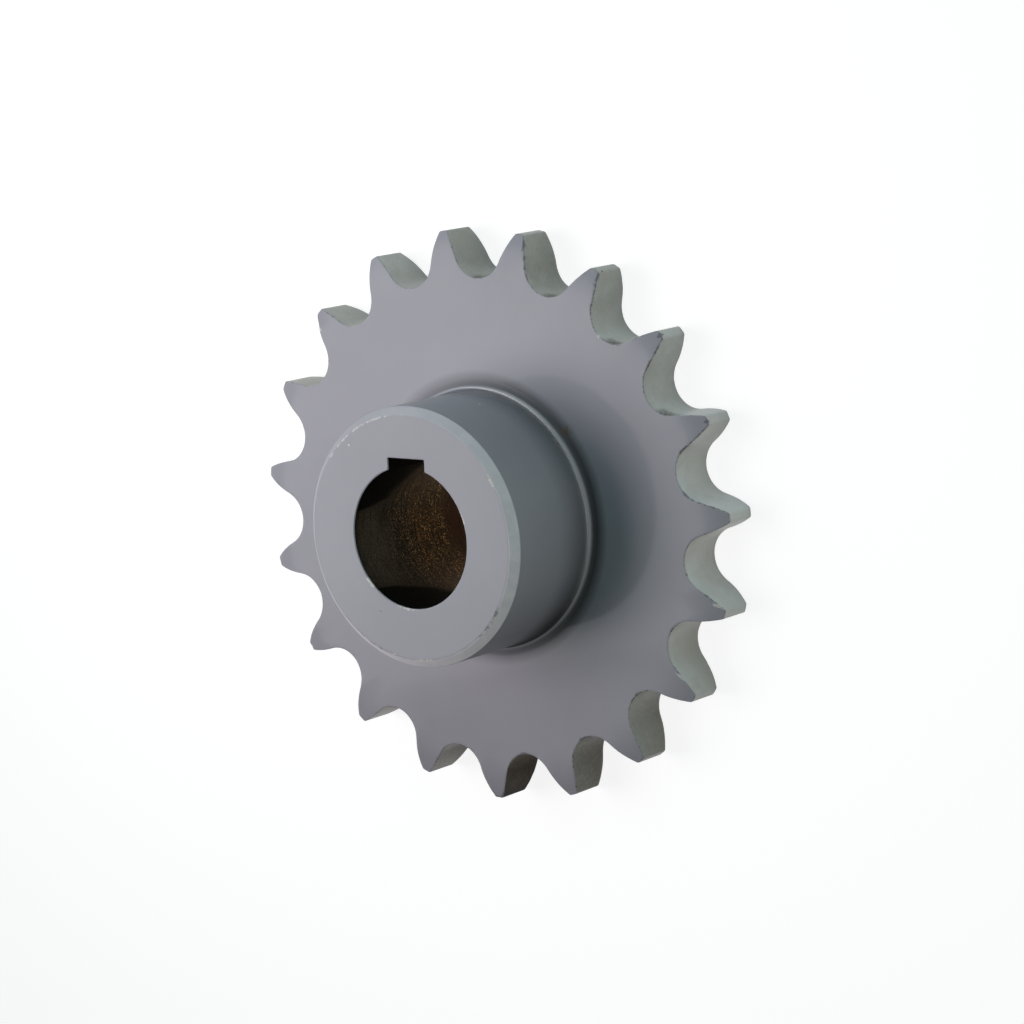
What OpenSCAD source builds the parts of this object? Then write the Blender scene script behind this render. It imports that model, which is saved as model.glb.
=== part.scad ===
// Roller chain sprocket: a toothed disc and a one-sided hub, turned from one piece of steel.
// It lies flat on the back of the disc with the hub upwards. The origin is on the axis of the
// bore, in the plane of the disc's back, and the keyway is on the +Y side of the bore.

/* [Teeth] */
// Pitch of the chain, from roller to roller
chain_pitch = 15.875; // [15.5:0.005:18]
// Number of teeth
tooth_count = 19; // [15:1:26]
// Diameter of the chain's rollers
roller_d = 10.16; // [9:0.01:10.4]
// Room between a roller and its seat, on the radius
seat_play = 0.05; // [0:0.01:0.15]
// Angle of the arc that a roller seats on
seat_angle = 131; // [127:0.5:137]
// Radius of the convex tooth flanks
flank_radius = 26.5; // [23:0.5:34]
// Height of the tooth tips above the pitch circle
tip_height = 3.5; // [3:0.05:3.8]
// Radius on the corners of the tooth tips
tip_radius = 0.55; // [0.2:0.05:0.8]
// Turn of the teeth: angle from the keyway to the nearest gap, anticlockwise from the hub's end
teeth_turn = -1.2; // [-9:0.1:9]

/* [Disc] */
// Thickness of the toothed disc
disc_t = 9.4; // [7:0.1:14]
// Depth that each side of the teeth falls back by at the tips
relief_depth = 1.45; // [0.5:0.05:2]
// Radius of the curve that the sides fall back on
relief_radius = 16; // [12:0.5:24]

/* [Hub] */
// Diameter of the hub
hub_d = 46.2; // [40:0.1:56]
// Length of the hub in front of the disc
hub_l = 21.6; // [10:0.1:45]
// Chamfer round the end of the hub
hub_chamfer = 1.4; // [0.5:0.1:2.5]
// Radius in the corner between hub and disc
root_radius = 2; // [0.5:0.1:4]

/* [Bore] */
// Diameter of the bore
bore_d = 25; // [16:0.1:30]
// Bevel on the edge of the bore, at both ends
bore_bevel = 0.2; // [0.1:0.05:1]
// Width of the keyway
key_w = 8; // [5:0.1:10]
// Depth of the keyway at its middle, below the wall of the bore
key_depth = 1.5; // [1:0.1:3.3]
// Bevel on the edges of the keyway, at both ends
key_bevel = 0.2; // [0.1:0.05:0.5]

/* [Hidden] */
$fn = 96;
// Steps round the large arcs
fine = 180;
// Length that a cut runs past the face it opens through
past = 1;
// How far arcs that should only touch run into each other, so that they meet in one clean edge
overlap = 0.001;

// Side of the bore that the keyway is on
key_side = 90;
key_floor = bore_d / 2 + key_depth;

// Circles of the toothed disc
pitch_turn = 360 / tooth_count;
pitch_r = chain_pitch / 2 / sin(pitch_turn / 2);
tip_r = pitch_r + tip_height;
seat_r = roller_d / 2 + seat_play;
relief_r = tip_r - sqrt(2 * relief_radius * relief_depth - relief_depth ^ 2);

// Centre of the upper flank's arc, for a gap that opens towards +X
flank_reach = seat_r + flank_radius - overlap;
flank_x = pitch_r - flank_reach * cos(seat_angle / 2);
flank_y = flank_reach * sin(seat_angle / 2);

// Centre of the round on the tip corner of that flank. It lies inside the tooth, where a
// circle touches both the flank and the tip circle from within, so three sides are known.
flank_far = norm([flank_x, flank_y]);
corner_to_flank = flank_radius - tip_radius;
corner_far = tip_r - tip_radius;
corner_along = (flank_far ^ 2 + corner_far ^ 2 - corner_to_flank ^ 2) / 2 / flank_far;
corner_aside = sqrt(corner_far ^ 2 - corner_along ^ 2);
corner = ([flank_x, flank_y] * corner_along + [flank_y, -flank_x] * corner_aside) / flank_far;
// Directions from that centre to where the round meets the flank and the tip circle
meets_flank = (corner - [flank_x, flank_y]) / corner_to_flank;
meets_tip = corner / corner_far;

hub_r = hub_d / 2;
total_l = disc_t + hub_l;

// Half section of the disc: flat, with sides that curve back towards the tips
module disc_section() {
    difference() {
        square([tip_r, disc_t]);
        relief_section();
        translate([0, disc_t]) mirror([0, 1]) relief_section();
    }
}

// What the back of the disc loses towards the tips
module relief_section() {
    difference() {
        translate([relief_r, -past]) square([tip_r - relief_r + past, disc_t / 2 + past]);
        translate([relief_r, relief_radius]) circle(relief_radius, $fn = fine);
    }
}

// Half section of the hub with its chamfer
module hub_section() {
    polygon([[0, disc_t / 2], [hub_r, disc_t / 2], [hub_r, total_l - hub_chamfer],
        [hub_r - hub_chamfer, total_l], [0, total_l]]);
}

// Round corner between the hub and the disc
module root_section() {
    translate([hub_r, disc_t])
        difference() {
            square(root_radius);
            translate([root_radius, root_radius]) circle(root_radius);
        }
}

// Half section of the bore, with a bevel at each end
module bore_section() {
    bore_r = bore_d / 2;
    mouth_r = bore_r + bore_bevel + past;
    polygon([[0, -past], [mouth_r, -past], [bore_r, bore_bevel], [bore_r, total_l - bore_bevel],
        [mouth_r, total_l + past], [0, total_l + past]]);
}

// The round body, before the teeth and the keyway are cut
module turned_body() {
    rotate_extrude()
        difference() {
            union() {
                disc_section();
                hub_section();
                root_section();
            }
            bore_section();
        }
}

// Space between two teeth: the roller's seat, and the opening between the two flanks
module gap_outline() {
    far = tip_r + past;
    translate([pitch_r, 0]) circle(seat_r);
    difference() {
        polygon([[pitch_r, 0], [flank_x, flank_y], [far, flank_y], [far, -flank_y],
            [flank_x, -flank_y]]);
        translate([flank_x, flank_y]) circle(flank_radius, $fn = fine);
        translate([flank_x, -flank_y]) circle(flank_radius, $fn = fine);
    }
}

// Sliver that the upper tip corner loses to its round
module corner_outline() {
    side = 2 * tip_radius;
    difference() {
        polygon([corner, corner + meets_flank * side, corner + (meets_flank + meets_tip) * side,
            corner + meets_tip * side]);
        translate(corner) circle(tip_radius + overlap);
    }
}

// All that is cut away between the teeth
module gaps() {
    translate([0, 0, -past])
        linear_extrude(disc_t + 2 * past)
            for (i = [0:tooth_count - 1])
                rotate(key_side + teeth_turn + i * pitch_turn) {
                    gap_outline();
                    corner_outline();
                    mirror([0, 1]) corner_outline();
                }
}

// Bevel round the upper mouth of a keyway that runs towards +X, standing on z = 0
module key_mouth() {
    out = key_bevel + past;
    intersection() {
        rotate([90, 0, 90])
            linear_extrude(key_floor + out)
                polygon([[-key_w / 2, -key_bevel], [key_w / 2, -key_bevel], [key_w / 2 + out, past],
                    [-key_w / 2 - out, past]]);
        rotate([90, 0, 0])
            linear_extrude(key_w + 2 * out, center = true)
                polygon([[0, -key_bevel], [key_floor, -key_bevel], [key_floor + out, past], [0, past]]);
    }
}

// Keyway through the whole length, with its edges bevelled at both ends
module keyway() {
    rotate(key_side) {
        translate([0, -key_w / 2, -past]) cube([key_floor, key_w, total_l + 2 * past]);
        translate([0, 0, total_l]) key_mouth();
        mirror([0, 0, 1]) key_mouth();
    }
}

module sprocket() {
    color([0.6, 0.6, 0.63])
        difference() {
            turned_body();
            gaps();
            keyway();
        }
}

sprocket();
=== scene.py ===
"""The looks of a roller chain sprocket: one piece of painted steel on a pale floor.

The painted piece repeats the sizes of the part's source, in millimetres, and adds what a plain
solid lacks: softly broken edges, wear and chips along them, dirt, and a rusty, oily bore. Its
colours also hold painted light and shade: lighter walls of the teeth, painted shade on the teeth
towards -Y, at the hub's root and in the bore and keyway, painted highlights on the hub, and a
painted reflection and painted glints in the bore.
"""

import math

import bpy
import numpy as np
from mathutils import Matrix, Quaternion, Vector, noise
from mathutils.kdtree import KDTree


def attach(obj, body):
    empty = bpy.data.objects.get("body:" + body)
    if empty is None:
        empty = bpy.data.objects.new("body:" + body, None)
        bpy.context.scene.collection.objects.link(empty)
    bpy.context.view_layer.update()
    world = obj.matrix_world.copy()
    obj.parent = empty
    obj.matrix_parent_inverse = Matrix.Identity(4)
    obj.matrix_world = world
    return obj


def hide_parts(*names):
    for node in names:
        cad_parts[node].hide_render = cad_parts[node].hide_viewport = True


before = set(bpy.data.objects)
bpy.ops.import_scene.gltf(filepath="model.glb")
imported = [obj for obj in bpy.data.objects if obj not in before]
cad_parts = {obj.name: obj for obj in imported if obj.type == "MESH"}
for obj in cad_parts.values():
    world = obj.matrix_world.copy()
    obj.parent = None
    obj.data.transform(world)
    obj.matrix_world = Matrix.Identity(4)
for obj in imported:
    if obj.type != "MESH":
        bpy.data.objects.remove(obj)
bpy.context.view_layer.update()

MM = 0.001
# A whole turn in degrees
TURN = 360

# Sizes of the part, in millimetres
CHAIN_PITCH = 15.875
TEETH = 19
SEAT_R = 5.13
SEAT_HALF = math.radians(65.5)
FLANK_R = 26.5
TIP_HEIGHT = 3.5
CORNER_R = 0.55
TEETH_TURN = math.radians(-1.2)
DISC_T = 9.4
RELIEF_DEPTH = 1.45
RELIEF_R = 16
HUB_R = 23.1
HUB_CHAMFER = 1.4
ROOT_R = 2
LENGTH = 31
BORE_R = 12.5
KEYWAY_ANGLE = math.pi / 2
KEY_HALF = 4
KEY_FLOOR = 14
MOUTH_BREAK = 0.2

# Circles of the toothed disc
HALF_PITCH = math.pi / TEETH
PITCH_R = CHAIN_PITCH / 2 / math.sin(HALF_PITCH)
TIP_R = PITCH_R + TIP_HEIGHT
SPACE_R = PITCH_R - SEAT_R
RELIEF_START = TIP_R - math.sqrt(2 * RELIEF_R * RELIEF_DEPTH - RELIEF_DEPTH ** 2)

# Columns of the mesh in half a tooth space: its seat, flank, rounded tip corner and tip
SEAT_STEPS, FLANK_STEPS, CORNER_STEPS, TIP_STEPS = 15, 14, 5, 2
COLUMNS = 2 * TEETH * (SEAT_STEPS + FLANK_STEPS + CORNER_STEPS + TIP_STEPS)
# Of these columns, every second one goes on past the fine part of the disc and every fourth one
# to the hub
MIDDLE_EVERY, HUB_EVERY = 2, 4
HUB_COLUMNS = COLUMNS // HUB_EVERY
# Columns of the bore in half the keyway: its floor and its side
KEY_FLOOR_STEPS, KEY_SIDE_STEPS = 10, 4
# Radii where the mesh of the disc turns from fine to coarse
FINE_R, MIDDLE_R, COARSE_R = 40, 38.6, 37.2

# Rings of the mesh on each surface, as shares of the way across it. Those close to an edge keep
# the shading beside it flat.
HUB_SIDE_RINGS = (*np.linspace(0, 1, 12)[1:-1], 0.99)
HUB_END_RINGS = (0.02, *np.linspace(0, 1, 9)[1:-1], 0.985, 1)
BORE_RINGS = np.linspace(0, 1, 26)[1:]
BACK_RINGS = (0.02, *np.linspace(0, 1, 6)[1:-1])
DISC_RINGS = np.linspace(0, 1, 8)
RELIEF_RINGS = (0.35, 0.62, 0.8, 0.92, 1)
WALL_RINGS = (0.08, 0.17, 0.27, 0.37, 0.47, 0.57, 0.66, 0.74, 0.81, 0.87, 0.92, 0.96, 0.985, 1)

# How far the edges of the teeth and the hub are broken, and in how many steps
TOOTH_BREAK = 0.15
HUB_BREAK = 0.25
BREAK_STEPS = 3
# Quarter turns round a broken edge and round the corner at the hub's root, without their start
BREAK_TURNS = np.linspace(0, math.pi / 2, BREAK_STEPS + 1)[1:]
ROOT_TURNS = np.linspace(0, math.pi / 2, 15)[1:]

# Noise along the tooth edges: share of the break, length in millimetres, and seed
FRONT_NOISE = (0.45, 2.5, 3.0)
BACK_NOISE = (0.5, 2.2, 9.0)
# Chips in the front edges: depth as a share of the wear's reach, how much of it shows where the
# noise is 0, and that noise as above
CHIP_DEPTH, CHIP_LEVEL, CHIP_NOISE = 0.42, 0.45, (1.1, 0.7, 5.0)
# Nicks in the back edges: depth, how high the noise has to rise for one, and that noise
NICK_DEPTH, NICK_FROM, NICK_NOISE = 0.22, 0.35, (1.0, 1.1, 14.0)


def arc(centre, radius, start, end, steps, inward=False):
    """Points on an arc and the directions out of the metal there, without the last point."""
    turn = np.linspace(start, end, steps, endpoint=False)
    out = np.c_[np.cos(turn), np.sin(turn)]
    return np.asarray(centre) + radius * out, -out if inward else out


def half_space():
    """Half a tooth space that opens towards +X, from its seat's middle to the tooth's middle."""
    reach = SEAT_R + FLANK_R
    flank_c = np.array([PITCH_R - reach * math.cos(SEAT_HALF), reach * math.sin(SEAT_HALF)])
    far = np.linalg.norm(flank_c)
    corner_far, to_flank = TIP_R - CORNER_R, FLANK_R - CORNER_R
    along = (far ** 2 + corner_far ** 2 - to_flank ** 2) / 2 / far
    aside = math.sqrt(corner_far ** 2 - along ** 2)
    unit = flank_c / far
    corner = unit * along + np.array([unit[1], -unit[0]]) * aside
    at_flank = corner - flank_c
    meets_flank = math.atan2(at_flank[1], at_flank[0])
    meets_tip = math.atan2(corner[1], corner[0])
    parts = [
        arc((PITCH_R, 0), SEAT_R, math.pi, math.pi - SEAT_HALF, SEAT_STEPS, inward=True),
        arc(flank_c, FLANK_R, -SEAT_HALF, meets_flank, FLANK_STEPS),
        arc(corner, CORNER_R, meets_flank, meets_tip, CORNER_STEPS),
        arc((0, 0), TIP_R, meets_tip, HALF_PITCH, TIP_STEPS),
    ]
    return np.vstack([p[0] for p in parts]), np.vstack([p[1] for p in parts])


def rotated(points, turn):
    c, s = math.cos(turn), math.sin(turn)
    return points @ np.array([[c, s], [-s, c]])


def tooth_outline():
    """The whole outline of the teeth, anticlockwise, and the directions out of it."""
    half, out = half_space()
    middle = np.array([[TIP_R * math.cos(HALF_PITCH), TIP_R * math.sin(HALF_PITCH)]])
    flip = np.array([1, -1])
    # from the middle of the space to the tooth's middle, then on to the next space
    rest = rotated(half[1:][::-1] * flip, 2 * HALF_PITCH)
    rest_out = rotated(out[1:][::-1] * flip, 2 * HALF_PITCH)
    space = np.vstack([half, middle, rest])
    space_out = np.vstack([out, middle / TIP_R, rest_out])
    turns = [KEYWAY_ANGLE + TEETH_TURN + 2 * HALF_PITCH * k for k in range(TEETH)]
    return (np.vstack([rotated(space, t) for t in turns]),
            np.vstack([rotated(space_out, t) for t in turns]))


def bore_outline(grown):
    """The bore and its keyway from the keyway's middle on, with their walls moved outwards."""
    radius, half, floor = BORE_R + grown, KEY_HALF + grown, KEY_FLOOR + grown
    corner_y = math.sqrt(radius ** 2 - half ** 2)
    corner = math.atan2(half, corner_y)
    steps = HUB_COLUMNS - 2 * (KEY_FLOOR_STEPS + KEY_SIDE_STEPS)
    floor_x = np.linspace(0, -half, KEY_FLOOR_STEPS, endpoint=False)
    side_y = np.linspace(floor, corner_y, KEY_SIDE_STEPS, endpoint=False)
    turn = KEYWAY_ANGLE + np.linspace(corner, 2 * math.pi - corner, steps, endpoint=False)
    left = np.vstack([np.c_[floor_x, np.full(KEY_FLOOR_STEPS, floor)],
                      np.c_[np.full(KEY_SIDE_STEPS, -half), side_y]])
    right_corner = np.array([[half, corner_y]])
    right = np.vstack([right_corner, (left[1:] * [-1, 1])[::-1]])
    return np.vstack([left, circle(radius, turn), right])


def drop(points):
    """How far the sides of the teeth have fallen back at some points."""
    past = np.maximum(np.linalg.norm(points, axis=1) - RELIEF_START, 0)
    return RELIEF_R - np.sqrt(RELIEF_R ** 2 - past ** 2)


def wobble(points, share, scale, seed):
    """Smooth noise at some points, up to a share either way, over lengths of about one scale."""
    return share * np.array([noise.noise(Vector((*p, seed)) / scale) for p in points])


class Skin:
    """A closed surface laid ring by ring round the axis."""

    def __init__(self):
        self.rings, self.points, self.faces = [], [], []
        self.count = 0

    def ring(self, flat, height):
        """Adds a ring of points and joins it to the last one."""
        height = np.broadcast_to(np.asarray(height, float), len(flat))
        ids = np.arange(self.count, self.count + len(flat))
        self.points.append(np.c_[flat, height])
        self.count += len(flat)
        if self.rings:
            self.join(self.rings[-1], ids)
        self.rings.append(ids)

    def join(self, a, b):
        """Joins two rings that have as many points, or one of them half as many as the other."""
        if len(a) == len(b):
            a2, b2 = np.roll(a, -1), np.roll(b, -1)
            self.faces += np.c_[a, a2, b2, b].tolist()
        elif len(a) == 2 * len(b):
            self.halve(a, b, False)
        else:
            self.halve(b, a, True)

    def halve(self, fine, coarse, flip):
        """Joins a ring to one with half as many points."""
        for j, c in enumerate(coarse):
            d = coarse[(j + 1) % len(coarse)]
            f0, f1, f2 = fine[2 * j], fine[2 * j + 1], fine[(2 * j + 2) % len(fine)]
            for face in ([f0, f1, c], [f1, f2, d], [c, f1, d]):
                self.faces.append([int(v) for v in (face[::-1] if flip else face)])

    def close(self):
        self.join(self.rings[-1], self.rings[0])


def circle(radius, turns):
    return radius * np.c_[np.cos(turns), np.sin(turns)]


def blended(a, b, share):
    return a + (b - a) * share


def disc_side(front, edge, turns, even):
    """The rings of one side of the disc, from the hub outwards to the edge of the teeth."""
    base, start = (DISC_T, HUB_R + ROOT_R) if front else (0, HUB_R)
    sign = -1 if front else 1
    rings = []
    # coarse part: the columns turn from those of the hub to those of the teeth
    for share in DISC_RINGS:
        eased = share ** 2 * (3 - 2 * share)
        columns = blended(even, turns[::HUB_EVERY], eased)
        rings.append((circle(blended(start, COARSE_R, share), columns), base))
    rings.append((circle(MIDDLE_R, turns[::MIDDLE_EVERY]), base))
    inner = circle(FINE_R, turns)
    rings.append((inner, base))
    for share in RELIEF_RINGS:
        flat = blended(inner, edge, share)
        rings.append((flat, base + sign * drop(flat)))
    return rings


def hub_rings(even):
    """The rings of the hub from its root to the end of its chamfer."""
    low, high = DISC_T + ROOT_R, LENGTH - HUB_CHAMFER
    profile = [(HUB_R + ROOT_R * (1 - math.sin(t)), DISC_T + ROOT_R * (1 - math.cos(t)))
               for t in ROOT_TURNS]
    profile += [(HUB_R, blended(low, high - HUB_BREAK, share)) for share in HUB_SIDE_RINGS]
    profile += soft_corner((HUB_R, low), (HUB_R, high), (HUB_R - HUB_CHAMFER, LENGTH))
    profile += soft_corner((HUB_R, high), (HUB_R - HUB_CHAMFER, LENGTH), (BORE_R, LENGTH))
    return [(circle(r, even), z) for r, z in profile]


def bore_rings():
    """The rings of the bore with its keyway, past the first one of its mouth to the back."""
    wall = bore_outline(0)
    rings = [(bore_outline(MOUTH_BREAK * (1 - math.sin(t))),
              LENGTH - MOUTH_BREAK * (1 - math.cos(t))) for t in BREAK_TURNS]
    rings += [(wall, blended(LENGTH - MOUTH_BREAK, MOUTH_BREAK, share)) for share in BORE_RINGS]
    rings += [(bore_outline(MOUTH_BREAK * (1 - math.cos(t))), MOUTH_BREAK * (1 - math.sin(t)))
              for t in BREAK_TURNS]
    return rings


def wall_rings(outline, out, edges, breaks):
    """The rings of the walls of the teeth, between the back edge and the front one."""
    (front_edge, back_edge), (front_break, back_break) = edges, breaks
    low, high = drop(back_edge), DISC_T - drop(front_edge)
    rings = [(back_edge + out * (back_break * math.sin(t))[:, None],
              low + back_break * (1 - math.cos(t))) for t in BREAK_TURNS]
    rings += [(outline, blended(low + back_break, high - front_break, share))
              for share in WALL_RINGS]
    rings += [(front_edge + out * (front_break * math.cos(t))[:, None],
               high - front_break * (1 - math.sin(t))) for t in BREAK_TURNS[:-1]]
    return rings


def wheel():
    """The skin of the sprocket: the disc's front, the hub, the bore, the disc's back, the teeth."""
    outline, out = tooth_outline()
    turns = np.unwrap(np.arctan2(outline[:, 1], outline[:, 0]))
    turns += 2 * math.pi * round((KEYWAY_ANGLE + TEETH_TURN - turns[0]) / 2 / math.pi)
    even = KEYWAY_ANGLE + 2 * math.pi * np.arange(HUB_COLUMNS) / HUB_COLUMNS
    breaks = edge_breaks(outline)
    edges = [outline - out * broken[:, None] for broken in breaks]
    front, back = (disc_side(is_front, edge, turns, even)
                   for is_front, edge in zip((True, False), edges))

    rings = front[::-1] + hub_rings(even)
    hub_end, mouth = rings[-1][0], bore_outline(MOUTH_BREAK)
    rings += [(blended(hub_end, mouth, share), LENGTH) for share in HUB_END_RINGS]
    rings += bore_rings()
    rings += [(blended(mouth, back[0][0], share), 0) for share in BACK_RINGS]
    rings += back + wall_rings(outline, out, edges, breaks)
    skin = Skin()
    for flat, z in rings:
        skin.ring(flat, z)
    skin.close()
    return skin


def edge_breaks(outline):
    """How far the front and back edges of the teeth are broken, at each column."""
    reach = local_wear(place_round(outline), WORN_SPOTS + list(PALE), TEETH)
    chips = CHIP_DEPTH * reach * np.clip(CHIP_LEVEL + wobble(outline, *CHIP_NOISE), 0, 1)
    nicks = NICK_DEPTH * np.clip(wobble(outline, *NICK_NOISE) - NICK_FROM, 0, 1)
    front = TOOTH_BREAK * (1 + wobble(outline, *FRONT_NOISE)) + chips
    back = TOOTH_BREAK * (1 + wobble(outline, *BACK_NOISE)) + nicks
    return front, back


def soft_corner(before, at, after):
    """Points of a small round on a corner of a profile."""
    before, at, after = (np.array(p, float) for p in (before, at, after))
    a = at + (before - at) / np.linalg.norm(before - at) * HUB_BREAK
    b = at + (after - at) / np.linalg.norm(after - at) * HUB_BREAK
    return [tuple(a * (1 - t) ** 2 + 2 * at * t * (1 - t) + b * t ** 2)
            for t in np.linspace(0, 1, BREAK_STEPS + 2)]


# Kinds of surface that show: painted all over, bare in the bore and keyway, and painted shade with
# oil and dirt on one wall
PAINT, BARE, OILY_SHADE = 0, 1, 2
# How near a place has to be to count as on a surface, in millimetres
NEAR = 0.01
# Radius of the keyway's corners
KEY_CORNER_R = math.hypot(KEY_FLOOR, KEY_HALF)
# Corners sharper than this aren't shaded smooth
SHARP = math.radians(50)
# How far in from a wall's broken edge the wall counts in full, and the share that counts as wall
WALL_FADE, WALL_ENOUGH = 0.2, 0.9


def build_wheel():
    """The sprocket as one object, with its bore bare and marks that its materials read."""
    skin = wheel()
    points = np.vstack(skin.points)
    mesh = bpy.data.meshes.new("painted_sprocket")
    mesh.from_pydata((points * MM).tolist(), [], skin.faces)
    centres = np.array([points[f].mean(axis=0) for f in skin.faces])
    # one wall is given a material of painted shade with oil and dirt
    kind = np.where(is_bare(centres), BARE, np.where(is_oily_shade(centres), OILY_SHADE, PAINT))
    mesh.polygons.foreach_set("material_index", kind.astype(np.int32))
    mesh.polygons.foreach_set("use_smooth", np.ones(len(skin.faces), bool))
    mesh.update()
    for name, values in marks(points).items():
        layer = mesh.attributes.new(name, "FLOAT", "POINT")
        layer.data.foreach_set("value", np.asarray(values, np.float32))
    obj = bpy.data.objects.new("painted_sprocket", mesh)
    bpy.context.collection.objects.link(obj)
    mesh.set_sharp_from_angle(angle=SHARP)
    weighted = obj.modifiers.new("even shading on flat faces", "WEIGHTED_NORMAL")
    weighted.keep_sharp = True
    return obj


def is_bare(centres):
    """Which faces are the walls of the bore and the keyway, without their broken edges."""
    far = np.linalg.norm(centres[:, :2], axis=1)
    in_key = ((np.abs(centres[:, 0]) < KEY_HALF + NEAR) & (centres[:, 1] > 0)
              & within(far, BORE_R, KEY_CORNER_R))
    past_mouths = within(centres[:, 2], MOUTH_BREAK, LENGTH - MOUTH_BREAK)
    return (in_key | (far < BORE_R + NEAR)) & past_mouths


def is_oily_shade(centres):
    """Which faces are the wall between the teeth that is darkened with painted shade, oil and dirt.
    """
    toothed = np.linalg.norm(centres[:, :2], axis=1) > SPACE_R - OILY_SHADE_PAST
    straight = within(centres[:, 2], RELIEF_DEPTH, DISC_T - RELIEF_DEPTH)
    on_wall = straight | (wall_share(centres) > WALL_ENOUGH)
    return toothed & on_wall & within(place_round(centres), *OILY_SHADE_SPAN)


# Places round the teeth count tooth spaces clockwise from the keyway, so that a whole number is
# the middle of a space and a half is a tooth. Turns round the hub and bore are in degrees from +X.
# Reaches are in millimetres in from an edge.
# Worn front edges of the teeth: from, to, reach
WORN = (
    (0.55, 0.84, 0.24), (0.575, 0.61, 0.56), (1.53, 1.78, 0.24), (1.55, 1.59, 0.48),
    (2.5, 2.76, 0.24), (2.48, 2.53, 0.76), (3.48, 3.8, 0.21), (3.49, 3.53, 0.64),
    (3.66, 3.74, 0.48), (4.2, 4.47, 0.24), (4.17, 4.26, 0.52), (5.3, 5.42, 0.21),
    (5.8, 6.0, 0.27), (6.8, 7.1, 0.35), (7.8, 8.15, 0.38), (8.8, 9.2, 0.35), (9.4, 9.62, 0.44),
)
# The same as middle, half length and reach. They fade out a little past their ends.
WORN_FADE = 0.6
WORN_SPOTS = [((a + b) / 2, (b - a) * WORN_FADE, reach) for a, b, reach in WORN]
# Wear on all edges of the teeth
BASE_WEAR = 0.08
# Pale chips on the front edge of the teeth: middle, half length, reach
PALE = (
    (1.96, 0.02, 0.7), (5.43, 0.025, 0.9), (6.36, 0.02, 0.7), (12.5, 0.03, 0.6), (16.4, 0.03, 0.6),
)
# Dark wear on the hub's edges, and painted highlights on them and on the bore's mouth: middle,
# half length, reach
HUB_WORN = ((-40, 11, 0.2), (-33, 3, 0.26), (250, 16, 0.14))
HUB_HIGHLIGHTS = ((-86, 8, 0.3), (-103, 2, 0.4), (31, 4, 0.5), (118, 30, 0.2))
MOUTH_HIGHLIGHTS = ((222, 7, 0.55), (262, 12, 0.3), (20, 10, 0.3))
# Radii up to which a place belongs to the hub and to the bore's mouth
HUB_ZONE_R, MOUTH_ZONE_R = HUB_R + 1, BORE_R + 4.5

# Dirt that lies in the spaces that open upwards: middle of each patch, half its length, and the
# heights that it fades in between
SETTLED, SETTLED_HALF = (-0.02, 1.08, 2.14, 3.24), 0.12
SETTLED_HEIGHTS = (DISC_T - 3, DISC_T - 2.2)
# Painted shade on the walls of the teeth, with some grime, darkest on the teeth towards -Y
SHADE_AND_GRIME_AT = (0, 1.5, 2, 3, 4, 5.5, 6.3, 7.3, 8.3, 8.9, 9.6, 10.1, 10.5, 11.5, 16, 18, 19)
SHADE_AND_GRIME = (0.36, 0.28, 0.12, 0.12, 0, 0, 0.1, 0.4, 0.72, 0.96, 1, 0.8, 0.7, 0.42, 0.34, 0.22, 0.36)
# The wall darkened with painted shade, oil and dirt: from and to
OILY_SHADE_SPAN = (8.98, 9.52)
# How far in past the bottom of the spaces this wall, and the walls of all teeth, are sought
OILY_SHADE_PAST, WALL_PAST = 0.1, 0.6

# Painted shade, with some dirt, in the corner at the hub's root, deepest towards +X where the
# hub's shadow falls: how dark it is at some turns, the radii between which it comes, is full and
# goes, and the heights that it keeps between
ROOT_AT = (-180, -90, -60, -40, 0, 45, 62, 90, 180)
ROOT = (0.35, 0.4, 0.58, 0.86, 0.94, 0.8, 0.78, 0.6, 0.35)
ROOT_RADII = (HUB_R + 0.45, HUB_R + 0.9, HUB_R + ROOT_R - 0.4, HUB_R + ROOT_R + 1.3)
ROOT_HEIGHTS = (DISC_T - 0.1, DISC_T + 1.1)
# Painted shade on the hub's side, darker low down: how dark it is at some turns, how much more
# there is low down, the heights over which that fades, how far from the side it is sought, and
# between which heights
SIDE_AT = (-180, -90, -50, -20, 20, 50, 90, 180)
SIDE = (0.1, 0.5, 0.54, 0.18, 0.04, 0.16, 0.14, 0.1)
SIDE_LOW, SIDE_FADE = 0.5, (DISC_T + ROOT_R + 6, DISC_T + ROOT_R)
SIDE_PAST, SIDE_HEIGHTS = 0.35, (DISC_T + 0.6, LENGTH - HUB_CHAMFER)
# Varnish pooled in the corner at the hub's root, given at turns as the painted shade and dirt there
POOLED_AT = (-180, -70, -40, -15, 10, 45, 75, 100, 180)
POOLED = (0.7, 0.28, 0.08, 0.3, 0.56, 0.4, 1, 1, 0.8)
POOLED_RADII = (HUB_R + 1.05, HUB_R + 0.7)
POOLED_HEIGHTS = (DISC_T, DISC_T + ROOT_R + 0.4)
# A spot of rust beside that corner: its turn and half its length, and its radii and heights
SPOT_TURN, SPOT_HALF = 41.5, 2.6
SPOT_RADII = (24.2, 24.7, 25.8, 26.6)
SPOT_HEIGHTS = (DISC_T - 0.1, DISC_T + 1)
# Scuffs on the chamfer, with painted light: how pale they are on average, how much the painted
# light varies round the hub, the turn where they are palest, away from the lamp, and how far past
# the chamfer's edges they are sought
SCUFF, PAINTED_LIGHT_VARIES, PALEST_TURN, SCUFF_PAST = 0.47, 0.44, -28, 0.05
# Where the bore near its mouth is blackened with painted shade and oil: turns, the heights that it
# starts at there, and half the height over which it comes in
OIL_AND_SHADE_AT = (0, 65, 95, 125, 138, 147, 156, 160, 163, 170, 222, 228, 232, 240, 246, 253, 270, 310,
           345)
OIL_AND_SHADE_FROM = (30, 30, 17, 19, 19.5, 21.4, 23, 27, 32, 40, 40, 32, 26, 21, 18.2, 17, 15, 18, 30)
OIL_AND_SHADE_FADE = 1
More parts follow.
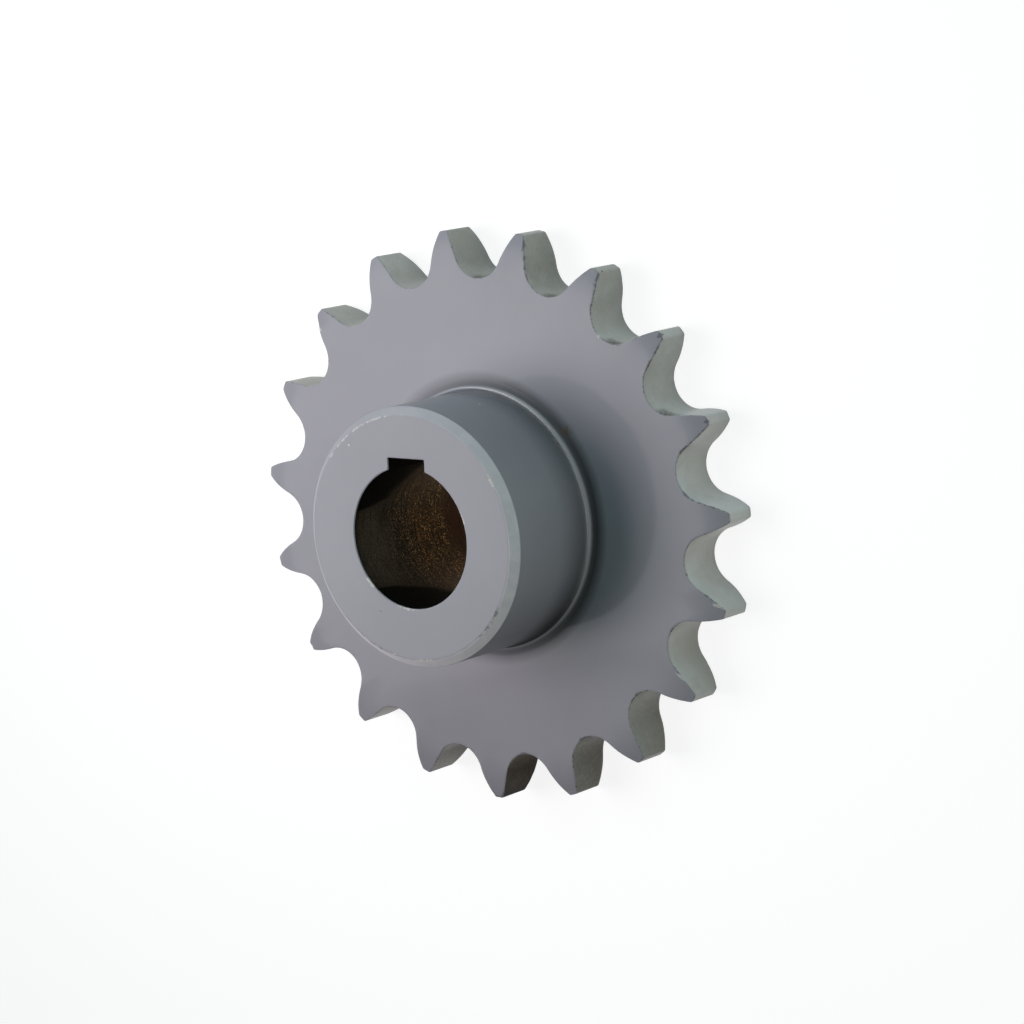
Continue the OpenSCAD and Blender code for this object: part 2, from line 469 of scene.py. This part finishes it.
# Points that stand for the round edge at the hub's end, where distances to edges are found
EDGE_POINTS = 720


def ramp(value, start, end):
    """0 before a start and 1 past an end, which may be the lower of the two."""
    return np.clip((value - start) / (end - start), 0, 1)


def band(value, start, full, full_to, end):
    """1 inside a band, falling to 0 at its start and end."""
    return np.minimum(ramp(value, start, full), ramp(value, end, full_to))


def within(value, low, high):
    return (value > low) & (value < high)


def place_round(points):
    """Places round the axis in tooth spaces, clockwise from the keyway."""
    turn = np.arctan2(points[:, 1], points[:, 0])
    return np.mod((KEYWAY_ANGLE + TEETH_TURN - turn) / (2 * HALF_PITCH), TEETH)


def near_turn(place, centre, half, whole):
    """1 near a place on a ring, falling to 0 at half a length either side."""
    away = np.abs(np.mod(place - centre + whole / 2, whole) - whole / 2)
    return ramp(away, half, half / 3)


def local_wear(place, spots, whole):
    """The largest reach that some spots (middle, half length, reach) give at places on a ring."""
    reach = np.zeros(len(place))
    for centre, half, most in spots:
        reach = np.maximum(reach, most * near_turn(place, centre, half, whole))
    return reach


def wall_share(points):
    """1 on the walls of the teeth, falling to 0 across their broken edges onto the sides."""
    depth = DISC_T / 2 - np.abs(points[:, 2] - DISC_T / 2) - drop(points[:, :2])
    toothed = np.linalg.norm(points[:, :2], axis=1) > SPACE_R - WALL_PAST
    return np.where(toothed, ramp(depth, 0, WALL_FADE), 0)


def edge_distance(points):
    """Distance in millimetres from each point to the nearest edge that wears."""
    outline = tooth_outline()[0]
    mouth = bore_outline(0)
    end = circle(HUB_R - HUB_CHAMFER, np.linspace(0, 2 * math.pi, EDGE_POINTS, endpoint=False))
    edges = ((outline, DISC_T - drop(outline)), (outline, drop(outline)), (end, LENGTH),
             (mouth, LENGTH))
    edges = np.vstack([np.c_[flat, np.broadcast_to(z, len(flat))] for flat, z in edges])
    tree = KDTree(len(edges))
    for index, p in enumerate(edges):
        tree.insert(p, index)
    tree.balance()
    return np.array([tree.find(p)[2] for p in points])


def marks(points):
    """What the materials read: where walls are, how far edges are, wear, grime and oil, and where
    light and shade are painted.
    """
    far = np.linalg.norm(points[:, :2], axis=1)
    height = points[:, 2]
    place = place_round(points)
    turn = np.degrees(np.arctan2(points[:, 1], points[:, 0]))
    found = {"flank": wall_share(points), "rim": edge_distance(points)}

    in_front = height > DISC_T / 2
    hub, by_mouth = far < HUB_ZONE_R, far < MOUTH_ZONE_R
    teeth_wear = np.maximum(BASE_WEAR, local_wear(place, WORN_SPOTS, TEETH) * in_front)
    hub_wear = np.where(by_mouth, 0, local_wear(turn, HUB_WORN, TURN))
    found["wear"] = np.where(hub, hub_wear, teeth_wear)
    # painted highlights on the hub's edges and the bore's mouth; pale chips on the teeth
    hub_highlights = np.where(by_mouth, local_wear(turn, MOUTH_HIGHLIGHTS, TURN),
                        local_wear(turn, HUB_HIGHLIGHTS, TURN))
    found["chips_and_highlights"] = np.where(hub, hub_highlights, local_wear(place, PALE, TEETH) * in_front)

    settled = sum(near_turn(place, c, SETTLED_HALF, TEETH) for c in SETTLED)
    found["settled"] = settled * found["flank"] * ramp(height, *SETTLED_HEIGHTS)
    # painted shade on the walls of the teeth, darkest towards -Y, with some grime
    found["shade_and_grime"] = np.interp(place, SHADE_AND_GRIME_AT, SHADE_AND_GRIME)

    # painted shade with some dirt in the corner at the hub's root, and painted shade low on its
    # side
    root = band(far, *ROOT_RADII) * within(height, *ROOT_HEIGHTS) * np.interp(turn, ROOT_AT, ROOT)
    on_side = (np.abs(far - HUB_R) < SIDE_PAST) & within(height, *SIDE_HEIGHTS)
    side = SIDE_LOW * ramp(height, *SIDE_FADE) + np.interp(turn, SIDE_AT, SIDE)
    found["root"] = np.maximum(root, side * on_side)
    pooled = ramp(far, *POOLED_RADII) * within(height, *POOLED_HEIGHTS)
    found["pooled"] = pooled * np.interp(turn, POOLED_AT, POOLED)
    spot = near_turn(turn, SPOT_TURN, SPOT_HALF, TURN) * band(far, *SPOT_RADII)
    found["spot"] = spot * within(height, *SPOT_HEIGHTS)

    # pale scuffs on the chamfer, with painted light that is strongest where it faces away from the
    # lamp
    on_chamfer = ((height > LENGTH - HUB_CHAMFER - SCUFF_PAST)
                  & (far > HUB_R - HUB_CHAMFER - SCUFF_PAST))
    found["scuff_and_light"] = on_chamfer * (SCUFF + PAINTED_LIGHT_VARIES * np.cos(np.radians(turn - PALEST_TURN)))

    # painted shade with oil near the bore's mouth, from listed heights at some turns
    oil_and_shade_from = np.interp(np.mod(turn, TURN), OIL_AND_SHADE_AT, OIL_AND_SHADE_FROM)
    oil_and_shade = ramp(height, oil_and_shade_from - OIL_AND_SHADE_FADE, oil_and_shade_from + OIL_AND_SHADE_FADE)
    # the keyway is blackened all over: painted shade with oil
    in_key = (np.abs(points[:, 0]) < KEY_HALF + NEAR) & (points[:, 1] > 0) & (far > BORE_R + NEAR)
    found["oil_and_shade"] = np.where(in_key, 1, oil_and_shade)
    return found


def shade(name, settings):
    """A new material, its node tree and its shader, with some of the shader's sockets set."""
    mat = bpy.data.materials.new(name)
    mat.use_nodes = True
    shader = mat.node_tree.nodes["Principled BSDF"]
    for socket, value in settings.items():
        shader.inputs[socket].default_value = value
    return mat, mat.node_tree, shader


def node(tree, kind, values=(), links=(), **fields):
    """Adds a node, sets its fields and sockets, and links other nodes' outputs to it."""
    made = tree.nodes.new(kind)
    for name, value in fields.items():
        setattr(made, name, value)
    for socket, value in dict(values).items():
        made.inputs[socket].default_value = value
    for socket, source in dict(links).items():
        tree.links.new(source, made.inputs[socket])
    return made


def here(tree):
    """The place on the object, in metres."""
    return node(tree, "ShaderNodeTexCoord").outputs["Object"]


def mark(tree, name):
    """One of the marks that the mesh carries."""
    return node(tree, "ShaderNodeAttribute", attribute_name=name).outputs["Fac"]


def noise_node(tree, place, scale, detail, rough):
    return node(tree, "ShaderNodeTexNoise", {"Scale": scale, "Detail": detail, "Roughness": rough},
                {"Vector": place}).outputs["Fac"]


def stretched_noise(tree, place, scales, detail, rough):
    """Noise with a scale of its own along each axis."""
    stretched = node(tree, "ShaderNodeMapping", {"Scale": scales}, {"Vector": place})
    return noise_node(tree, stretched.outputs["Vector"], 1, detail, rough)


def between(tree, source, low, high, to_low=0, to_high=1):
    """A value carried from one range to another, and kept inside the second one."""
    return node(tree, "ShaderNodeMapRange",
                {"From Min": low, "From Max": high, "To Min": to_low, "To Max": to_high},
                {"Value": source}).outputs["Result"]


def maths(tree, operation, a, b):
    """The result of an operation on two values, each a socket or a number."""
    made = tree.nodes.new("ShaderNodeMath")
    made.operation = operation
    for socket, value in zip(made.inputs, (a, b)):
        if isinstance(value, (int, float)):
            socket.default_value = value
        else:
            tree.links.new(value, socket)
    return made.outputs[0]


def times(tree, a, b):
    return maths(tree, "MULTIPLY", a, b)


def mixed(tree, share, a, b):
    """A colour between two, each a socket or a plain colour."""
    made = tree.nodes.new("ShaderNodeMix")
    made.data_type = "RGBA"
    tree.links.new(share, made.inputs["Factor"])
    for socket, value in ((made.inputs["A"], a), (made.inputs["B"], b)):
        if isinstance(value, tuple):
            socket.default_value = (*value, 1)
        else:
            tree.links.new(value, socket)
    return made.outputs["Result"]


def linear(red, green, blue):
    """Linear colour for one named in the usual 0 to 255 steps."""
    return tuple(((v / 255 + 0.055) / 1.055) ** 2.4 for v in (red, green, blue))


def varied(tree, share, colours):
    """A colour between two that are named in the usual 0 to 255 steps."""
    return mixed(tree, share, linear(*colours[0]), linear(*colours[1]))


def add_bump(tree, shader, height, strength, distance):
    bump = node(tree, "ShaderNodeBump", {"Strength": strength, "Distance": distance},
                {"Height": height})
    tree.links.new(bump.outputs["Normal"], shader.inputs["Normal"])


# Noise in the materials: scale per metre, detail and roughness. A pattern also says which part of
# the noise's range is spread from 0 to 1.
CLOUDS = (45, 3, 0.5), (0.3, 0.7)
MOTTLE = (260, 5, 0.65), (0.38, 0.62)
STAINS = (130, 4, 0.6), (0.5, 0.75)
OIL_CLOUDS = (150, 4, 0.6), (0.4, 0.66)
OIL_GRAIN = (1400, 4, 0.7), (0.35, 0.65)
RAGGED = (1500, 5, 0.65)
ORANGE_PEEL = (1400, 2, 0.5)
BORE_CLOUDS = (140, 4, 0.6)
# The same with a scale for each axis: marks of the lathe's tool, and grains of rust
TOOL_MARKS = ((230, 230, 3300), 4, 0.7)
RUST_GRAIN = ((3300, 3300, 5200), 3, 0.75)

# Colours of the paint, in the usual 0 to 255 steps. A pair is varied by a pattern.
FACE = ((157, 155, 162), (163, 161, 168))
# The walls of the teeth are lit and shaded copies of the paint: painted light and painted shade
LIT_WALL = ((218, 212, 208), (229, 224, 221))
SHADED_WALL = ((158, 153, 144), (170, 166, 159))
# The grimy colour is painted shade with some grime, and the scuffed one is partly painted light
STAINED, SHADED_GRIMY, SCUFFED_AND_LIT = (150, 141, 124), (74, 64, 52), (238, 233, 236)
# The colour at the hub's root is painted shade with some dirt
ROOT_SHADE_AND_DIRT, SETTLED_DIRT = (38, 40, 41), (88, 83, 76)
# The pale colour is chipped paint on the teeth and painted highlights on the hub and bore's mouth
CHIP_AND_HIGHLIGHT, WORN_DARK, RUST_SPOT = (224, 220, 211), (98, 96, 102), (106, 80, 50)
DARK_DOT, PALE_FLECK = (70, 66, 62), (236, 233, 228)
# How strongly stains, pale chips and painted highlights, and dark wear cover what is under them
STAIN_COVERS, CHIP_AND_HIGHLIGHT_COVERS, WEAR_COVERS = 0.4, 0.75, 0.7
# Painted shade and grime up to which a wall is only dull
DULL_SHADE_AND_GRIME = 0.4
# Ragged noise for painted shade and grime, dirt that has settled and the rust spot: its range,
# and the shares that it stands for unless they are 0 and 1
SHADE_AND_GRIME_RAGGED = (0.3, 0.6, 0.88, 1.08)
SETTLED_RAGGED = (0.35, 0.55, 0.3, 0.9)
SPOT_RAGGED = (0.42, 0.6)
# The share of a scuff that is left where the mottle is darkest
SCUFF_LEAST = 0.8
# Worn places, in millimetres: the noise's middle and how far it moves their border, the width of
# the border, the distance from an edge at which all wear has ended and where that starts, and the
# least reach that shows
RAGGED_MIDDLE, RAGGED_REACH = 0.52, 1.5
WORN_BORDER, WORN_ENDS, LEAST_REACH = 0.12, (1.8, 1.5), 0.02
# Dots and flecks: cells per metre, their radii in cells where they begin and are full, and the
# cells' numbers above which there is a dot and below which there is a fleck
DOT_CELLS = 150
DOT_RADII, DOT_FROM = (0.045, 0.03), 0.86
FLECK_RADII, FLECK_TO = (0.035, 0.02), 0.13
# Gloss: the clear coat outside the pooled varnish and in it, and the roughness of clean paint and
# of worn or dirty paint
COAT = (0.12, 1)
PAINT_ROUGHNESS = (0.47, 0.6)
# Bumps: the share of the orange peel and of the dots, then each material's strength and height,
# in metres
PEEL_BUMP, DOT_BUMP = 0.35, 0.6
PAINT_BUMP, OIL_BUMP, BORE_BUMP = (0.35, 0.00006), (0.4, 0.00006), (0.6, 0.00008)

# Colours of the wall under painted shade, oil and dirt, and the radii in metres between which its
# tip darkens
THICK_OIL_SHADE = ((40, 31, 23), (64, 52, 38))
THIN_OIL_SHADE = ((86, 76, 58), (104, 95, 76))
OILY_SHADED_TIP, TIP_DARKENS = (20, 16, 13), (0.0492, 0.0518)

# Colours of the bore from its mouth inwards, each with the part of the grain's range that varies it
# Near the mouth the olive is a painted reflection of the surroundings
OLIVE_REFLECTION = (0.4, 0.6), ((48, 46, 38), (69, 66, 56))
DARK = (0.45, 0.62), ((9, 9, 7), (40, 37, 28))
BROWN = (0.44, 0.62), ((10, 7, 3), (64, 43, 20))
RED = (0.4, 0.6), ((31, 16, 8), (47, 27, 13))
# Heights in metres between which each of the last three takes over
TO_DARK, TO_BROWN, TO_RED = (0.027, 0.02), (0.018, 0.014), (0.0065, 0.0045)
# How far the clouds move these heights up and down, in metres
ZONES_WANDER = 0.012
# Painted glints on grains of rust: colour, the ranges of grain and tool marks that show them, the
# heights between which they come in, and those over which they thin out upwards and to what share
RUST_GLINTS = (172, 134, 84)
GLINT_GRAIN, GLINT_MARKS = (0.55, 0.66), (0.42, 0.56)
GLINTS_FROM, GLINTS_THIN = (0.004, 0.0075), (0.024, 0.018, 0.22, 1)
# Dark grooves: colour, the range of tool marks that shows them, and how strongly they cover
GROOVE, GROOVE_MARKS, GROOVE_COVERS = (10, 8, 6), (0.48, 0.36), 0.6
# Oil with painted shade: colour, how strongly it covers, and the roughness of the bore without it
# and under it
OIL_AND_SHADE, OIL_AND_SHADE_COVERS, BORE_ROUGHNESS = (4, 9, 8), 0.97, (0.36, 0.62)
# The share of the rust's grain in the bore's bumps, beside the tool marks
GRAIN_BUMP = 0.9


def pattern(tree, place, kind, spread):
    return between(tree, noise_node(tree, place, *kind), *spread)


def over(tree, under, share, colour, most=None):
    """A colour named in 0 to 255 steps, laid over another one by a share, times the most that it
    covers."""
    if most is not None:
        share = times(tree, share, most)
    return mixed(tree, share, under, linear(*colour))


def worn_places(tree, reach, rim, ragged):
    """Where wear of some reach shows, ragged and patchy, in from an edge."""
    moved = times(tree, maths(tree, "SUBTRACT", ragged, RAGGED_MIDDLE), RAGGED_REACH)
    inside = maths(tree, "ADD", maths(tree, "SUBTRACT", reach, rim), moved)
    near = times(tree, between(tree, inside, 0, WORN_BORDER), between(tree, rim, *WORN_ENDS))
    return times(tree, near, maths(tree, "GREATER_THAN", reach, LEAST_REACH))


def paint():
    """Grey sprayed paint, semi-gloss. It is painted lighter and warmer on the walls of the teeth, a
    painted light, and darker on the walls towards -Y, a painted shade with some grime. It is
    scuffed pale on the hub's chamfer, with painted light where the chamfer faces away from the
    lamp, worn dark and chipped pale along edges, with painted highlights on the hub and the bore's
    mouth, darkened with painted shade and some dirt at the hub's root and low on its side, and
    dirty and rusty in places. A clear coat lies thicker where varnish has pooled at the hub's root."""
    mat, tree, shader = shade("grey_paint", {"Specular IOR Level": 0.35, "Coat Roughness": 0.07})
    place = here(tree)
    cloud, mottle, stain = (pattern(tree, place, *p) for p in (CLOUDS, MOTTLE, STAINS))
    ragged = noise_node(tree, place, *RAGGED)
    rim = mark(tree, "rim")

    # painted shade with some grime darkens the walls towards -Y
    shade_and_grime = times(tree, mark(tree, "shade_and_grime"), between(tree, ragged, *SHADE_AND_GRIME_RAGGED))
    # the walls are painted lighter and warmer than the faces: painted light
    wall = mixed(tree, between(tree, shade_and_grime, 0, DULL_SHADE_AND_GRIME), varied(tree, mottle, LIT_WALL),
                 varied(tree, mottle, SHADED_WALL))
    wall = over(tree, wall, stain, STAINED, STAIN_COVERS)
    wall = over(tree, wall, between(tree, shade_and_grime, DULL_SHADE_AND_GRIME, 1), SHADED_GRIMY)
    colour = mixed(tree, mark(tree, "flank"), varied(tree, cloud, FACE), wall)
    # scuffs on the chamfer, partly painted light
    scuff_and_light = times(tree, mark(tree, "scuff_and_light"), between(tree, mottle, 0, 1, SCUFF_LEAST, 1))
    colour = over(tree, colour, scuff_and_light, SCUFFED_AND_LIT)
    # painted shade with some dirt at the hub's root and low on its side
    colour = over(tree, colour, mark(tree, "root"), ROOT_SHADE_AND_DIRT)
    settled = times(tree, mark(tree, "settled"), between(tree, ragged, *SETTLED_RAGGED))
    colour = over(tree, colour, settled, SETTLED_DIRT)
    # pale chips on the teeth; painted highlights on the hub and the bore's mouth
    chips_and_highlights = worn_places(tree, mark(tree, "chips_and_highlights"), rim, ragged)
    colour = over(tree, colour, chips_and_highlights, CHIP_AND_HIGHLIGHT, CHIP_AND_HIGHLIGHT_COVERS)
    worn = worn_places(tree, mark(tree, "wear"), rim, ragged)
    colour = over(tree, colour, worn, WORN_DARK, WEAR_COVERS)
    spot = times(tree, mark(tree, "spot"), between(tree, ragged, *SPOT_RAGGED))
    colour = over(tree, colour, spot, RUST_SPOT)

    cells = node(tree, "ShaderNodeTexVoronoi", {"Scale": DOT_CELLS}, {"Vector": place}).outputs
    number = node(tree, "ShaderNodeSeparateColor", {}, {0: cells["Color"]}).outputs["Red"]
    dot = times(tree, between(tree, cells["Distance"], *DOT_RADII),
                maths(tree, "GREATER_THAN", number, DOT_FROM))
    colour = over(tree, colour, dot, DARK_DOT)
    fleck = times(tree, between(tree, cells["Distance"], *FLECK_RADII),
                  maths(tree, "LESS_THAN", number, FLECK_TO))
    colour = over(tree, colour, fleck, PALE_FLECK)
    tree.links.new(colour, shader.inputs["Base Color"])
    tree.links.new(between(tree, mark(tree, "pooled"), 0, 1, *COAT), shader.inputs["Coat Weight"])

    dull = maths(tree, "MAXIMUM", worn, mark(tree, "root"))
    tree.links.new(between(tree, dull, 0, 1, *PAINT_ROUGHNESS), shader.inputs["Roughness"])
    peel = times(tree, noise_node(tree, place, *ORANGE_PEEL), PEEL_BUMP)
    sunk = maths(tree, "MAXIMUM", worn, times(tree, dot, DOT_BUMP))
    add_bump(tree, shader, maths(tree, "SUBTRACT", peel, sunk), *PAINT_BUMP)
    return mat


def oily_and_shaded():
    """Paint under painted shade, oil and dirt: dull dark brown, olive where the dirt is thinner."""
    mat, tree, shader = shade("oily_shaded_wall", {"Specular IOR Level": 0.16, "Roughness": 0.6})
    place = here(tree)
    cloud, grain = (pattern(tree, place, *p) for p in (OIL_CLOUDS, OIL_GRAIN))
    colour = mixed(tree, cloud, varied(tree, grain, THICK_OIL_SHADE), varied(tree, grain, THIN_OIL_SHADE))
    out = node(tree, "ShaderNodeVectorMath", {}, {0: place}, operation="LENGTH").outputs["Value"]
    colour = over(tree, colour, between(tree, out, *TIP_DARKENS), OILY_SHADED_TIP)
    tree.links.new(colour, shader.inputs["Base Color"])
    add_bump(tree, shader, grain, *OIL_BUMP)
    return mat


def bare_steel():
    """Turned steel inside the bore: olive and dark near the mouth, the olive a painted reflection,
    then brown with rust that follows the tool's marks and painted glints on its grains, and red at
    the back. Painted shade with oil blackens some of it and the keyway."""
    mat, tree, shader = shade("rusty_bore", {"Metallic": 1, "Specular Tint": (0.8, 0.74, 0.68, 1)})
    place = here(tree)
    cloud = noise_node(tree, place, *BORE_CLOUDS)
    # heights wander with the clouds, so that no zone ends on a ring
    moved = times(tree, maths(tree, "SUBTRACT", cloud, 0.5), ZONES_WANDER)
    up = maths(tree, "ADD", node(tree, "ShaderNodeSeparateXYZ", {}, {0: place}).outputs["Z"], moved)
    grooves = stretched_noise(tree, place, *TOOL_MARKS)
    grain = stretched_noise(tree, place, *RUST_GRAIN)
    # the olive near the mouth is a painted reflection
    olive_reflection, dark, brown, red = (varied(tree, between(tree, grain, *spread), colours)
                               for spread, colours in (OLIVE_REFLECTION, DARK, BROWN, RED))
    colour = mixed(tree, between(tree, up, *TO_DARK), olive_reflection, dark)
    colour = mixed(tree, between(tree, up, *TO_BROWN), colour, brown)
    colour = mixed(tree, between(tree, up, *TO_RED), colour, red)
    # painted glints on the grains of rust
    glints = times(tree, between(tree, grain, *GLINT_GRAIN), between(tree, grooves, *GLINT_MARKS))
    zone = times(tree, between(tree, up, *GLINTS_FROM), between(tree, up, *GLINTS_THIN))
    colour = over(tree, colour, times(tree, glints, zone), RUST_GLINTS)
    colour = over(tree, colour, between(tree, grooves, *GROOVE_MARKS), GROOVE, GROOVE_COVERS)
    # painted shade with oil near the mouth and in the keyway
    colour = over(tree, colour, mark(tree, "oil_and_shade"), OIL_AND_SHADE, OIL_AND_SHADE_COVERS)
    tree.links.new(colour, shader.inputs["Base Color"])
    tree.links.new(between(tree, mark(tree, "oil_and_shade"), 0, 1, *BORE_ROUGHNESS),
                   shader.inputs["Roughness"])
    add_bump(tree, shader, maths(tree, "ADD", grooves, times(tree, grain, GRAIN_BUMP)), *BORE_BUMP)
    return mat


# The floor: its side in metres, its colour under light, the strength at which it shows by itself,
# and how much of that is seen directly and in reflections
FLOOR_SIDE = 4
FLOOR_COLOUR = (0.85, 0.85, 0.84, 1)
FLOOR_WHITE = 1.25
FLOOR_SEEN, FLOOR_REFLECTED = 0.7, 0.58
# Surroundings: towards, the heights that each patch rises, is full and ends at, and its red,
# green and blue strength as light and in reflections
LOW, MIDDLE = (-0.3, 0, 0.3), (0.1, 0.4, 0.7)
SURROUNDINGS = (
    ((1, 0, 0), LOW, (1.1, 1.1, 0.95), (4.3, 4.6, 4.8)),
    ((1, 0, 0), MIDDLE, (0.5, 0.68, 0.64), (1.2, 1.1, 1)),
    ((0, 1, 0), LOW, (0.05, 0.12, 0.2), (7.4, 7.4, 7.6)),
    ((0, 1, 0), MIDDLE, (0.64, 1.26, 1.34), (2.2, 2.4, 2.5)),
    ((-1, 0, 0), LOW, (0.35, 0.35, 0.35), (0.35, 0.35, 0.35)),
    ((0, -1, 0), LOW, (0.2, 0.2, 0.2), (0.2, 0.2, 0.2)),
)
# Strength of the surroundings between the patches, as light and in reflections
AMBIENT, AMBIENT_REFLECTED = 0.03, 0.2
# A little over 1, so that nothing is divided by 0 straight up
JUST_OVER_1 = 1.0001
# Lamps: direction that they shine from, distance and size in metres, place that they are aimed at,
# the beam's spread in degrees, strength and colour
LAMPS = {
    "key_light": ((-0.58, 0.14, 0.8), 0.26, 0.23, (0.03, 0.06, 0), 90, 1.27, (1, 0.96, 1)),
}

# The camera as fitted to the photograph: its place in metres, its turn, and its lens in pixels
CAMERA_PLACE = (0.39789, 0.10989, 0.51679)
CAMERA_TURN = (0.94351, -0.086996, 0.319679, 0.004118)
FOCAL_PX = 3665.5
IMAGE_PX = 1024
SENSOR_MM = 36
# The fit counts pixels from the middle of the first one, the camera from its edge
HALF_PIXEL = 0.5 / IMAGE_PX


def add_floor():
    """A pale floor that the object stands on. Seen directly it is white, with a soft shadow."""
    bpy.ops.mesh.primitive_plane_add(size=FLOOR_SIDE, location=(0, 0, 0))
    floor = bpy.context.object
    floor.name = "floor"
    mat, tree, shader = shade("pale_floor", {"Roughness": 0.9, "Specular IOR Level": 0.1})
    shader.inputs["Base Color"].default_value = FLOOR_COLOUR
    white = node(tree, "ShaderNodeEmission", {"Strength": FLOOR_WHITE}).outputs[0]
    seen = node(tree, "ShaderNodeLightPath").outputs
    direct = maths(tree, "MAXIMUM", seen["Is Camera Ray"], seen["Is Transmission Ray"])
    share = maths(tree, "MAXIMUM", times(tree, direct, FLOOR_SEEN),
                  times(tree, seen["Is Glossy Ray"], FLOOR_REFLECTED))
    mix = node(tree, "ShaderNodeMixShader", {}, {0: share, 1: shader.outputs[0], 2: white})
    tree.links.new(mix.outputs[0], tree.nodes["Material Output"].inputs["Surface"])
    floor.data.materials.append(mat)


def add_world():
    """Soft surroundings: bright towards +X and, in reflections, towards +Y, dim elsewhere. They
    are white where they are seen directly."""
    world = bpy.data.worlds.new("soft surroundings")
    world.use_nodes = True
    tree = world.node_tree
    way = node(tree, "ShaderNodeTexCoord").outputs["Generated"]
    seen = node(tree, "ShaderNodeLightPath").outputs
    total = mixed(tree, seen["Is Glossy Ray"], (AMBIENT,) * 3, (AMBIENT_REFLECTED,) * 3)
    for towards, heights, light, reflected in SURROUNDINGS:
        colour = mixed(tree, seen["Is Glossy Ray"], light, reflected)
        scale = soft_patch(tree, way, towards, heights)
        patch = node(tree, "ShaderNodeVectorMath", {}, {"Vector": colour, "Scale": scale},
                     operation="SCALE").outputs[0]
        total = node(tree, "ShaderNodeVectorMath", {}, {0: total, 1: patch},
                     operation="ADD").outputs[0]
    background = tree.nodes["Background"]
    tree.links.new(total, background.inputs["Color"])
    direct = maths(tree, "MAXIMUM", seen["Is Camera Ray"], seen["Is Transmission Ray"])
    white = node(tree, "ShaderNodeBackground", {"Strength": 1.0}).outputs[0]
    mix = node(tree, "ShaderNodeMixShader", {}, {0: direct, 1: background.outputs[0], 2: white})
    tree.links.new(mix.outputs[0], tree.nodes["World Output"].inputs["Surface"])
    bpy.context.scene.world = world


def soft_patch(tree, way, towards, heights):
    """How much of a soft patch of the surroundings is seen in a direction. The patch spreads a
    quarter turn either side, and rises, is full and ends at three heights of a unit direction."""
    low, full, high = heights
    height = node(tree, "ShaderNodeSeparateXYZ", {}, {0: way}).outputs["Z"]
    side = node(tree, "ShaderNodeVectorMath", {1: towards}, {0: way},
                operation="DOT_PRODUCT").outputs["Value"]
    side = maths(tree, "MAXIMUM", side, 0.0)
    level = maths(tree, "SUBTRACT", JUST_OVER_1, times(tree, height, height))
    round_share = maths(tree, "DIVIDE", times(tree, side, side), level)
    up_share = maths(tree, "MINIMUM", between(tree, height, low, full),
                     between(tree, height, high, full))
    return times(tree, round_share, up_share)


def add_lamp(name, towards, distance, size, aim, spread, strength, colour):
    """A square soft lamp that shines from a direction on a place, in a beam that fades towards its
    edge. In the middle of the beam a strength of 1 shows a colour as it is written on a surface
    that faces the lamp."""
    place = Vector(towards).normalized() * distance
    half = math.radians(spread) / 2
    data = bpy.data.lights.new(name, "AREA")
    data.shape = "SQUARE"
    data.size = size
    data.spread = math.radians(spread)
    # a narrower beam carries the same power, so it takes less for the same light
    data.energy = strength * math.pi ** 2 * distance ** 2 * (1 - half / math.tan(half))
    data.color = colour
    lamp = bpy.data.objects.new(name, data)
    lamp.location = place
    lamp.rotation_mode = "QUATERNION"
    lamp.rotation_quaternion = (place - Vector(aim)).to_track_quat("Z", "Y")
    lamp.visible_camera = False
    bpy.context.collection.objects.link(lamp)


def add_camera():
    data = bpy.data.cameras.new("camera")
    data.sensor_width = SENSOR_MM
    data.lens = FOCAL_PX / IMAGE_PX * SENSOR_MM
    data.shift_x, data.shift_y = -HALF_PIXEL, HALF_PIXEL
    camera = bpy.data.objects.new("camera", data)
    camera.location = CAMERA_PLACE
    camera.rotation_mode = "QUATERNION"
    camera.rotation_quaternion = Quaternion(CAMERA_TURN)
    bpy.context.collection.objects.link(camera)
    bpy.context.scene.camera = camera


sprocket = build_wheel()
# in the order of the kinds of surface
sprocket.data.materials.append(paint())
sprocket.data.materials.append(bare_steel())
sprocket.data.materials.append(oily_and_shaded())
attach(sprocket, "root")
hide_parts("sprocket")

add_floor()
add_world()
for name, lamp in LAMPS.items():
    add_lamp(name, *lamp)
add_camera()
bpy.context.scene.view_settings.view_transform = "Standard"
